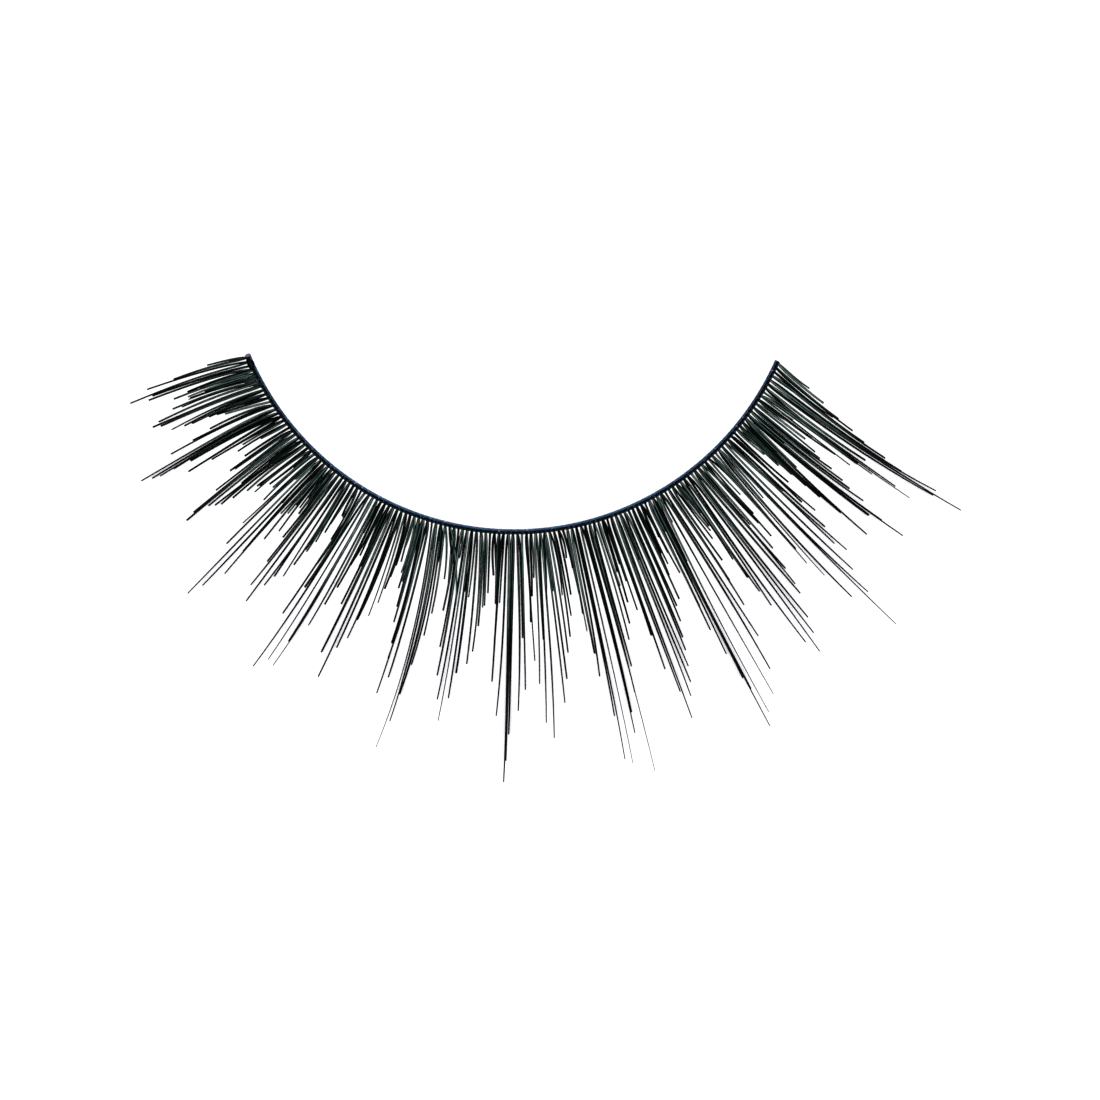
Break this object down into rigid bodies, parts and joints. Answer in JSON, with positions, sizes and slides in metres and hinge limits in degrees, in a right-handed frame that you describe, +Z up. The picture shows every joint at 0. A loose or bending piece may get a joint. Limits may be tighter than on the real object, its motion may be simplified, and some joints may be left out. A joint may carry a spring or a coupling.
{
  "type": "false eyelash strip",
  "caption": "Curved false eyelash strip: a fine band with a feathered fringe of pointed, upward-curling lash locks.",
  "frame": {"origin": "middle of the band's flat underside, half-way along the band", "axes": "+X along the strip from its left end to its right end, +Z up, away from the lid and the way the tips curl, and -Y the way the middle lashes point"},
  "size_m": [0.0411, 0.021, 0.0035],
  "materials": {
    "band_thread": "blue-black thread with a soft gloss",
    "lash_fibre": "near-black fibre with a faint sheen"
  },
  "bodies": {
    "root": {"lash_band": "band_thread", "lash_lock_01": "lash_fibre", "lash_lock_02": "lash_fibre", "lash_lock_03": "lash_fibre", "lash_lock_04": "lash_fibre", "lash_lock_05": "lash_fibre", "lash_lock_06": "lash_fibre", "lash_lock_07": "lash_fibre", "lash_lock_08": "lash_fibre", "lash_lock_09": "lash_fibre", "lash_lock_10": "lash_fibre", "lash_lock_11": "lash_fibre", "lash_lock_12": "lash_fibre", "lash_lock_13": "lash_fibre", "lash_lock_14": "lash_fibre", "lash_lock_15": "lash_fibre", "lash_lock_16": "lash_fibre", "lash_lock_17": "lash_fibre", "lash_lock_18": "lash_fibre", "lash_lock_19": "lash_fibre", "lash_lock_20": "lash_fibre", "lash_lock_21": "lash_fibre", "lash_lock_22": "lash_fibre", "lash_lock_23": "lash_fibre", "lash_lock_24": "lash_fibre", "lash_lock_25": "lash_fibre", "lash_lock_26": "lash_fibre", "lash_lock_27": "lash_fibre", "lash_lock_28": "lash_fibre", "lash_lock_29": "lash_fibre", "lash_lock_30": "lash_fibre"}
  },
  "joints": []
}
